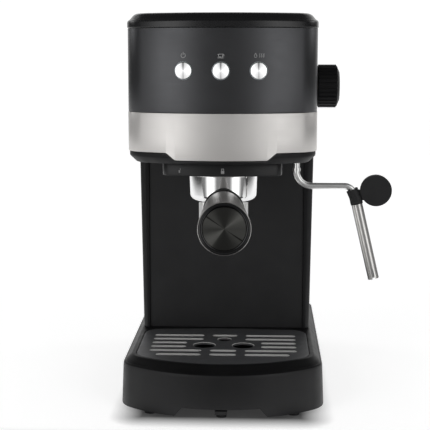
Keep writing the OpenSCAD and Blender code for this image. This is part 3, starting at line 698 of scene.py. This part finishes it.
# ------------------------------------------------------------------ base
def base_solid(name):
    rings = [ring_of(base_plan(d), z) for d, z in ((0.5, 3.5), (0.1, 3.8), (0.0, 4.4))]
    for z in (14, 26, 36.5):
        rings.append(ring_of(base_plan(0.03 + 1.35 * (z - 5) / 34), z))
    edge, rim = base_plan(1.4), rim_plan(0)
    for z, d in ((38.3, 1.45), (39.3, 1.7), (39.95, 2.15), (40.35, 2.8), (40.62, 3.5)):
        rings.append(ring_of(base_plan(d), z))
    for t in (0.42, 0.58, 0.74, 0.88):
        rings.append(ring_of(mix_plan(edge, rim, t), 40.0 + 6.0 * t - 0.35 * math.sin(math.pi * t)))
    rings.append(ring_of(mix_plan(edge, rim, 0.96), 45.72))
    rings.append(ring_of(rim_plan(0.2), 45.95))
    rings.append(ring_of(rim_plan(0.8), 46.0))
    return loft(name, rings)


# faces that slope up take the rim's painted shade
def slopes_up(poly):
    return poly.normal.z > 0.3


tray = base_solid("tray_shell")
carve(tray, block("c", -120, 120, SEAM_Y - 0.4, FAR, -5, 60))
carve(tray, prism("c", grid_plan(-0.6), GRID_Z - 2.05, 60))
carve(tray, prism("c", cup_plan(0), 14, 60))
carve(tray, prism("c", base_plan(4.2), 0, 11.5))
notch = [(-39.4, 2.4), (39.4, 2.4), (32, 11.2), (-32, 11.2)]
loops = [[(x, y, z) for x, z in notch] for y in (-170, -100)]
carve(tray, sweep("c", loops))
post = rod("float_post", (0, -49, 13.9), (0, -49, 30), 2, 24)
tray = join("tray_shell", [tray, post])
stand_in(tray, "drip_tray", "tray", "black_moulding")
# painted shade on the faces that slope up
two_looks(tray, "black_base", "black_rim_painted_shade", slopes_up)

rear = base_solid("base_shell")
carve(rear, block("c", -120, 120, -FAR, SEAM_Y, -5, 60))
hollow = prism("c", base_plan(4.2), 0, 38)
carve(hollow, block("d", -120, 120, -FAR, SEAM_Y + 2.5, -5, 60))
carve(rear, hollow)
carve(rear, prism("c", base_plan(6), 0, 8.2))
carve(rear, rod("c", (50, 130, 24), (50, 160, 24), 6.5, 48))
carve(rear, rod("c", (-35, 118, 36), (-35, 118, 50), 10, 48))
carve(rear, block("c", -52, 30, 22, 62, 30, 50))
stand_in(rear, "base_rear", "machine", "black_moulding")
# painted shade on the faces that slope up
two_looks(rear, "black_base", "black_rim_painted_shade", slopes_up)


# ------------------------------------------------------------------ drip grid
def stadium(x0, x1, y, w, n=10):
    h = w / 2
    return (arc(x1 - h, y, h, -90, 90, n) + arc(x0 + h, y, h, 90, 270, n))


def slot_cutter(x0, x1, y, w):
    plan0, plan1 = stadium(x0, x1, y, w), stadium(x0 - 0.3, x1 + 0.3, y, w + 0.6)
    return loft("c", [ring_of(plan0, 40), ring_of(plan0, GRID_Z - 0.3),
                      ring_of(plan1, GRID_Z + 0.001), ring_of(plan1, 50)])


def hole_cutter(x, y, r):
    a, b = arc(x, y, r, 0, 360, 64)[:-1], arc(x, y, r + 0.35, 0, 360, 64)[:-1]
    return loft("c", [ring_of(a, 40), ring_of(a, GRID_Z - 0.35), ring_of(b, GRID_Z + 0.001),
                      ring_of(b, 50)])


SLOT_W, PLATE = 5.6, 2.0
grid = loft("grid_sheet", [ring_of(grid_plan(d), GRID_Z + dz) for d, dz in (
    (0.25, -PLATE), (0, -PLATE + 0.2), (0, -0.3), (0.3, 0))])
HOLES = ((17, -69.5, 9.5), (-17, -69.5, 9.5), (0, -49, 6))  # x, y, radius
ROWS = (  # y, inner and outer end of the side slots, half length of the middle slot or 0
    (-35.5, 19, 63, 11), (-48.7, 19, 63, 0), (-61.9, 33, 63, 0), (-75.1, 33, 63, 0),
    (-88.3, 19, 63, 11), (-101.5, 19, 56.5, 11),
)
for y, near_end, far_end, middle in ROWS:
    carve(grid, slot_cutter(near_end, far_end, y, SLOT_W))
    carve(grid, slot_cutter(-far_end, -near_end, y, SLOT_W))
    if middle:
        carve(grid, slot_cutter(-middle, middle, y, SLOT_W))
for x, y, r in HOLES:
    carve(grid, hole_cutter(x, y, r))
stand_in(grid, "drip_grid", "grid", "grid_metal", 24)


def bare_edge(poly):
    """Walls of the slots, and the chamfers of the three round holes; the rest is coated."""
    c = poly.center
    for x, y, r in HOLES:
        if (c - P(x, y, GRID_Z)).length < (r + 2.4) / 1000:
            return abs(poly.normal.z) < 0.9 and c.z > (GRID_Z - 0.3) / 1000
    inside = abs(c.x - P(0, 0, 0).x) < 0.0655 and P(0, -106, 0).y < c.y < P(0, -30, 0).y
    return inside and abs(poly.normal.z) < 0.9


two_looks(grid, "grid_coat", "grid_edge", bare_edge)

# column panel with softened edges
sheet = [(-70.6, -3.9), (-70.5, -4), (70.5, -4), (70.6, -3.9), (70.6, -1.5), (-70.6, -1.5)]
cpanel = loft("column_sheet", [ring_of(sheet, z) for z in (GRID_Z + 0.4, 100, 160, 219)])
stand_in(cpanel, "column_panel", "machine", "black_moulding", look="black_column")

# ------------------------------------------------------------------ filter holder
TURN = 2.2
HOLDER = Matrix.Translation(P(0, BREW_Y, 0)) @ Matrix.Rotation(rad(TURN), 4, "Z")
HANDLE = HOLDER @ Matrix.Translation((0, -0.0316, 0.1711)) @ Matrix.Rotation(rad(88.9), 4, "X")
R_END = 19.6

outer = [(6.0, 175.0), (22.6, 175.0)]
outer += [(22.6 + 6.4 * sin(rad(a)), 181.4 - 6.4 * cos(rad(a))) for a in range(10, 91, 8)]
outer += [(29.3, 190.0), (29.8, 204.0), (29.8, 205.3), (29.6, 205.75), (29.2, 205.9), (27.3, 205.9),
          (27.0, 205.6), (27.0, 178.0), (6.0, 178.0)]
bowl = lathe("bowl_shell", outer, HOLDER, 128, closed=True)
lug = [(24, -6)] + arc(0, 0, 33.6, -14, 14, 16) + [(24, 6)]
lugs = []
for turn in (0, 180):
    lugs.append(slab_at("lug", [(cos(rad(turn)) * x, cos(rad(turn)) * y) for x, y in lug],
                        202.0, 205.0, HOLDER))
neck = [(-8.4, -8.1), (8.4, -8.1), (9, -7.5), (9, 11.3), (8.4, 11.9), (-8.4, 11.9), (-9, 11.3),
        (-9, -7.5)]
neck = slab_at("neck", neck, -7.1, -0.1, HANDLE)
bowl = join("bowl_shell", [bowl] + lugs + [neck])
stand_in(bowl, "portafilter_bowl", "filter_holder", "polished_steel", 32)

grip = [(0, 2.7), (15.0, 2.7), (15.5, 2.9), (15.8, 3.5), (16.25, 12), (17, 31), (18.1, 61),
        (19, 91), (19.5, 112), (R_END, 118.2), (19.55, 118.7), (19.42, 118.95), (19.25, 119),
        (19.05, 118.85), (18.95, 118.5), (18.95, 115.2), (0, 115.2)]
handle = lathe("handle_body", grip, HANDLE, 128)
stand_in(handle, "portafilter_handle", "filter_holder", "handle_metal", 40)
ring = [(0, 0), (16.6, 0), (17, 0.4), (17, 2.2), (16.6, 2.6), (0, 2.6)]
ring = lathe("handle_collar_ring", ring, HANDLE, 96)
stand_in(ring, "handle_collar", "filter_holder", "black_moulding", 40)
inset = [(15.95, 115.3), (18.9, 115.3), (18.9, 118.2), (18.7, 118.4), (17.6, 118.1),
         (17.35, 118.45), (17.05, 118.45), (16.85, 117.6), (15.95, 117.2)]
inset = lathe("handle_inset", inset, HANDLE, 128, closed=True)
detail(inset, "filter_holder", "black_shine", "black_gloss", 30)
disc = [(0, 115.3), (15.85, 115.3), (15.85, 117.9), (15.7, 118.15), (15.4, 118.3),
        (0.0001, 118.3)]
disc = lathe("handle_disc", disc, HANDLE, 128)
stand_in(disc, "handle_end_disc", "filter_holder", "spun_black", 30)

# ------------------------------------------------------------------ buttons and prints
def face(x, proud=0.0):
    """y of the front panel's face at x, or of a surface that stands proud of it."""
    return HEAD_FRONT + HEAD_R - math.sqrt((HEAD_R + proud) ** 2 - x * x)


for key, x in BUTTONS:
    node = "button_" + key
    place = Matrix.Translation(P(x, face(x), BUTTON_Z)) @ Matrix.Rotation(rad(90), 4, "X")
    cap = [(0, -4.0), (6.6, -4.0), (6.6, 0.5), (6.53, 0.85), (6.35, 1.1), (6.0, 1.3)]
    cap += [(6.0 * cos(rad(a)), 1.3 + 0.5 * sin(rad(a))) for a in range(8, 90, 8)] + [(0.0001, 1.8)]
    cap = lathe(node + "_cap", cap, place, 96)
    stem = lathe("stem", [(0, -12), (2.5, -12), (2.5, -3.9), (0, -3.9)], place, 32)
    cap = join(node + "_cap", [cap, stem])
    stand_in(cap, node, key + "_button", "spun_bright", 30, look="spun_" + key)
    hub = P(x, HEAD_FRONT, BUTTON_Z)
    two_looks(cap, "spun_" + key, "steel_plain", lambda poly: math.hypot(
        poly.center.x - hub.x, poly.center.z - hub.z) > CAP_FACE_R / 1000)


def on_panel(name, strokes, cx, cz, width=0.42):
    """Thin printed strokes (lists of points in the panel's face, mm) laid on the curved front."""
    verts, faces = [], []
    for line in strokes:
        for (x0, z0), (x1, z1) in zip(line, line[1:]):
            dx, dz = x1 - x0, z1 - z0
            size = math.hypot(dx, dz)
            nx, nz = -dz / size * width / 2, dx / size * width / 2  # half width, across
            ex, ez = dx / size * width * 0.3, dz / size * width * 0.3  # lengthening at the joints
            quad = [(x0 + nx - ex, z0 + nz - ez), (x1 + nx + ex, z1 + nz + ez),
                    (x1 - nx + ex, z1 - nz + ez), (x0 - nx - ex, z0 - nz - ez)]
            k = len(verts)
            for lift in (-0.05, 0.06):
                verts += [P(cx + qx, face(cx + qx, lift), cz + qz) for qx, qz in quad]
            faces += [[k, k + 1, k + 2, k + 3], [k + 4, k + 7, k + 6, k + 5]]
            faces += [[k + i, k + 4 + i, k + 4 + (i + 1) % 4, k + (i + 1) % 4] for i in range(4)]
    me = bpy.data.meshes.new(name)
    me.from_pydata([tuple(v) for v in verts], [], faces)
    ob = bpy.data.objects.new(name, me)
    SCENE.collection.objects.link(ob)
    return detail(ob, "machine", "print_grey", "black_panel_metal", 20)


POWER_X, BREW_X, STEAM_X = (x for _, x in BUTTONS)
on_panel("icon_power", [arc(0, 0, 1.75, 125, 415, 14), [(0, 0.5), (0, 2.4)]], POWER_X, PRINT_Z)
on_panel("icon_cup", [[(-2.1, 1.0), (-1.7, -1.1), (1.3, -1.1), (1.7, 1.0), (-2.1, 1.0)],
                      arc(1.7, 0.1, 0.8, -70, 80, 8), [(-2.4, -1.9), (2.1, -1.9)]],
         BREW_X, PRINT_Z)
drop = [[(-2.6, 1.7), (-3.6, -0.1)], arc(-2.6, -0.5, 1.05, 160, 380, 10),
        [(-2.6, 1.7), (-1.6, -0.1)]]
wisps = [[(x, -1.5), (x + 0.5, -0.5), (x, 0.5), (x + 0.5, 1.5)] for x in (0.4, 2.0, 3.6)]
on_panel("icon_steam", drop + wisps, STEAM_X, PRINT_Z, 0.36)


def collar_y(x):
    """y of the collar's face at x."""
    return COLLAR_FRONT + COLLAR_R - math.sqrt(COLLAR_R ** 2 - x * x)


def collar_mark(name, cx, cz, boxes):
    """Small printed boxes (x0, x1, z0, z1 from the mark's centre) on the collar's face."""
    parts = []
    for x0, x1, z0, z1 in boxes:
        y = collar_y(cx + (x0 + x1) / 2)
        parts.append(block(name, cx + x0, cx + x1, y - 0.12, y + 0.6, cz + z0, cz + z1))
    return detail(join(name, parts), "machine", "print_grey", "black_moulding")


MARK_Z = 204.6
collar_mark("mark_locked", 0.8, MARK_Z, [(-1.3, 1.3, -2.1, 0.3), (-1.1, -0.6, 0.3, 1.9),
                                         (0.6, 1.1, 0.3, 1.9), (-1.1, 1.1, 1.5, 2.0)])
collar_mark("mark_open", -34.4, MARK_Z, [(-0.8, 0.8, -1.9, 0.1), (0.3, 0.7, 0.1, 1.6)])

# rim line of the lower trim under the bright band
line = []
for x in spread(-47.5, 47.5, 60, (-STEP_X[1], -STEP_X[0], *STEP_X)):
    z = band_bottom(abs(x)) - 1.1
    y0 = face(x, -0.55)
    y1 = y0 + 1.6
    line.append([(x, y0, z - 0.35), (x, y0, z + 0.35), (x, y1, z + 0.35), (x, y1, z - 0.35)])
detail(sweep("trim_line", line), "machine", "black_satin", "black_moulding")

# soft edges on pieces kept from the CAD
for node, width in (("spout", 0.7), ("bayonet_ring", 0.3), ("wand_grip", 0.5), ("feet", 0.4),
                    ("rear_wall", 0.3), ("water_tank", 0.4), ("froth_sleeve", 0.15)):
    mod = NODES[node].modifiers.new("soft_edge", "BEVEL")
    mod.width, mod.segments, mod.limit_method, mod.angle_limit = width / 1000, 3, "ANGLE", rad(40)
    mod.harden_normals = False

# ------------------------------------------------------------------ camera and light
# Floor, in metres of the row frame: along y it goes from dark to white between these two
FLOOR_FADE, FLOOR_GLOW = (-0.175, -0.12), 0.71
FLOOR_WEDGE = (0.35, 0.5)  # past this distance aside, the dark edge swings forwards at this rate
# Aside it goes from white to dark between FLOOR_SIDE, which moves outwards along y at this rate
FLOOR_SPREAD, FLOOR_SIDE = 0.25, (0.85, 1.3)
# Painted contact shadow under the machine: middle and half size along x and y, softness, share of
# the glow that is left
SHADE_X, SHADE_Y, SHADE_SOFT, SHADE_LOW = (-0.0265, 0.066), (0.055, 0.143), 0.028, 0.05
SKY = 0.10  # radiance everywhere
PANELS = (  # azimuth, half width, softness, height, half height, softness, radiance
    (-42, 4, 19, 0, 32, 22, 1.58),
    (43, 4, 18, 0, 32, 22, 1.42),
    (0, 60, 30, 0, 32, 22, 0.14),
    (-112, 8, 10, 18, 5, 6, 1.6),
    (112, 8, 10, 18, 5, 6, 1.6),
)
# Around angle 180: half width, softness, height, half height, softness, radiance
BACK = (28.0, 22.0, 0.0, 28.0, 12.0, 0.95)
CAM = P(33.67, -1045, 300.05)
YAW, PITCH = rad(2.426), rad(8.102)
SENSOR_MM, FOCAL_SHARE = 36, 1145.0 / 430  # focal length as a share of the picture's width
ahead = Vector((-sin(YAW) * cos(PITCH), cos(YAW) * cos(PITCH), -sin(PITCH)))
right_v = Vector((cos(YAW), sin(YAW), 0))
up_v = right_v.cross(ahead)
cam_data = bpy.data.cameras.new("camera")
cam = bpy.data.objects.new("camera", cam_data)
SCENE.collection.objects.link(cam)
cam.matrix_world = Matrix((*((right_v[k], up_v[k], -ahead[k], CAM[k]) for k in range(3)),
                           (0, 0, 0, 1)))
cam_data.sensor_width = SENSOR_MM
cam_data.lens = SENSOR_MM * FOCAL_SHARE
cam_data.clip_end = 20
SCENE.camera = cam
SCENE.view_settings.view_transform = "Standard"
SCENE.view_settings.look = "None"

# Floor: a white sweep that is fully lit beside and behind the machine and falls off in front.
g = Graph("floor_white")
split = g.add("ShaderNodeSeparateXYZ")
g.link(g.coord.outputs["Object"], split.inputs[0])
aside = g.calc("ABSOLUTE", split.outputs["X"])
past = g.calc("MAXIMUM", g.calc("SUBTRACT", aside, FLOOR_WEDGE[0]), 0.0)
wedge = g.calc("MULTIPLY_ADD", past, FLOOR_WEDGE[1], split.outputs["Y"])
front = g.spread(wedge, 0.0, 1.0, *FLOOR_FADE)
slope = g.calc("MULTIPLY_ADD", split.outputs["Y"], -FLOOR_SPREAD, aside)
lateral = g.spread(slope, 1.0, 0.0, *FLOOR_SIDE)
lit = g.calc("MULTIPLY", front, lateral)


def beyond(axis, middle, half):
    """Distance outside the band middle +- half along one axis, not below zero."""
    off = g.calc("ABSOLUTE", g.calc("SUBTRACT", split.outputs[axis], middle))
    return g.calc("MAXIMUM", g.calc("SUBTRACT", off, half), 0.0)


# painted contact shadow: the glow and the floor's colour die away under the machine
pair = g.add("ShaderNodeCombineXYZ")
g.link(beyond("X", *SHADE_X), pair.inputs["X"])
g.link(beyond("Y", *SHADE_Y), pair.inputs["Y"])
near = g.add("ShaderNodeVectorMath", operation="LENGTH")
g.link(pair.outputs[0], near.inputs[0])
clear = g.spread(near.outputs["Value"], SHADE_LOW, 1.0, 0.0, SHADE_SOFT)
glow_and_painted_shadow = g.calc("MULTIPLY", lit, clear)
# the floor's colour darkens with the painted shadow under the machine and with the falloff in front
g.link(g.tint(glow_and_painted_shadow, (0.14, 0.14, 0.14), (0.90, 0.90, 0.90)), g.bsdf.inputs["Base Color"])
g.bsdf.inputs["Roughness"].default_value = 0.8
g.bsdf.inputs["Specular IOR Level"].default_value = 0.1
g.bsdf.inputs["Emission Color"].default_value = (1, 1, 1, 1)
g.link(g.calc("MULTIPLY", glow_and_painted_shadow, FLOOR_GLOW), g.bsdf.inputs["Emission Strength"])
g.link(g.bump(g.noise(300, detail=2.0), 0.01, 0.0002), g.bsdf.inputs["Normal"])
verts = [Vector(v) for v in ((-5, -0.36, 0), (5, -0.36, 0), (5, 7, 0), (-5, 7, 0))]
floor = mesh_object("floor", verts, [[0, 1, 2, 3]])
if floor.data.polygons[0].normal.z < 0:
    floor.data.flip_normals()
dress(floor, g.mat)

# Studio surroundings, as radiance by compass angle and height: angle 0 is behind the camera,
# positive towards +X.
world = bpy.data.worlds.new("studio")
SCENE.world = world
world.use_nodes = True
wt = world.node_tree


def window(value, centre, half, soft):
    """1 inside centre +- half, easing to 0 over soft."""
    rng = wt.nodes.new("ShaderNodeMapRange")
    rng.interpolation_type = "SMOOTHSTEP"
    for key, v in (("From Min", half), ("From Max", half + soft), ("To Min", 1.0), ("To Max", 0.0)):
        rng.inputs[key].default_value = v
    wt.links.new(calc(wt, "ABSOLUTE", calc(wt, "SUBTRACT", value, centre)), rng.inputs["Value"])
    return rng.outputs["Result"]


def add_glow(total, across, upright, radiance):
    """Adds a lit patch, the product of its two windows, to the radiance so far."""
    return calc(wt, "ADD", calc(wt, "MULTIPLY", calc(wt, "MULTIPLY", across, upright), radiance),
                total)


wc = wt.nodes.new("ShaderNodeTexCoord")
wx = wt.nodes.new("ShaderNodeSeparateXYZ")
wt.links.new(wc.outputs["Generated"], wx.inputs[0])
backwards = calc(wt, "MULTIPLY", wx.outputs["Y"], -1.0)
azimuth = calc(wt, "MULTIPLY", calc(wt, "ARCTAN2", wx.outputs["X"], backwards), 180 / math.pi)
height = calc(wt, "MULTIPLY", calc(wt, "ARCSINE", wx.outputs["Z"]), 180 / math.pi)
total = SKY
for angle, half, soft, up, half_up, soft_up, radiance in PANELS:
    total = add_glow(total, window(azimuth, angle, half, soft),
                     window(height, up, half_up, soft_up), radiance)
half, soft, up, half_up, soft_up, radiance = BACK
total = add_glow(total, window(calc(wt, "ABSOLUTE", azimuth), 180.0, half, soft),
                 window(height, up, half_up, soft_up), radiance)
wt.links.new(total, wt.nodes["Background"].inputs["Strength"])
wt.nodes["Background"].inputs["Color"].default_value = (1, 1, 1, 1)


def softbox(name, place, target, width, height, power):
    data = bpy.data.lights.new(name, "AREA")
    data.shape, data.size, data.size_y, data.energy = "RECTANGLE", width, height, power
    ob = bpy.data.objects.new(name, data)
    SCENE.collection.objects.link(ob)
    ob.location = place
    ob.rotation_euler = (Vector(target) - Vector(place)).to_track_quat("-Z", "Y").to_euler()


for name, x in (("rim_left", -1.5), ("rim_right", 1.5)):
    softbox(name, (x, 0.9, 1.3), (0, 0, 0.1), 0.6, 0.9, 1.5)
